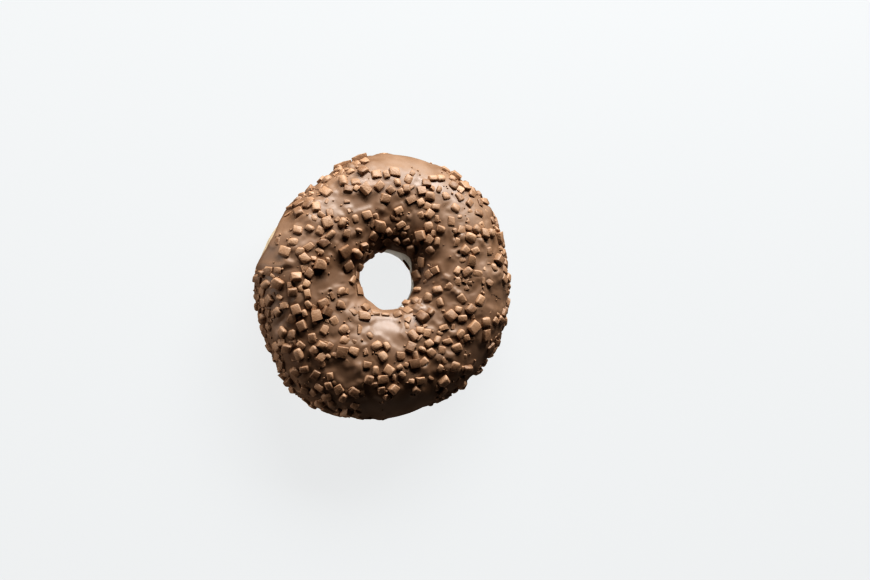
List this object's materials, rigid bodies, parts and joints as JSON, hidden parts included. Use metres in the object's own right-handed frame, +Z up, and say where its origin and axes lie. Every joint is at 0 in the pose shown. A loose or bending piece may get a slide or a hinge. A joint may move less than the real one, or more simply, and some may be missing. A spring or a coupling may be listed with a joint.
{
  "type": "chocolate sprinkle doughnut",
  "caption": "Ring doughnut dipped in milk chocolate and strewn with small chocolate blocks, lying flat on its bare fried back.",
  "frame": {"origin": "on the resting plane, under the middle of the doughnut's overall box", "axes": "+Z up out of the coated side, +Y towards the side that is uppermost in the picture, +X towards the picture's right"},
  "size_m": [0.0911, 0.0918, 0.0303],
  "materials": {
    "dough": "matt golden brown fried crust, paler round the side",
    "icing": "set milk chocolate with a soft shine",
    "chocolate_blocks": "matt milk chocolate, lighter than the coat"
  },
  "bodies": {
    "root": {"dough": "dough", "icing": "icing"}
  },
  "joints": []
}
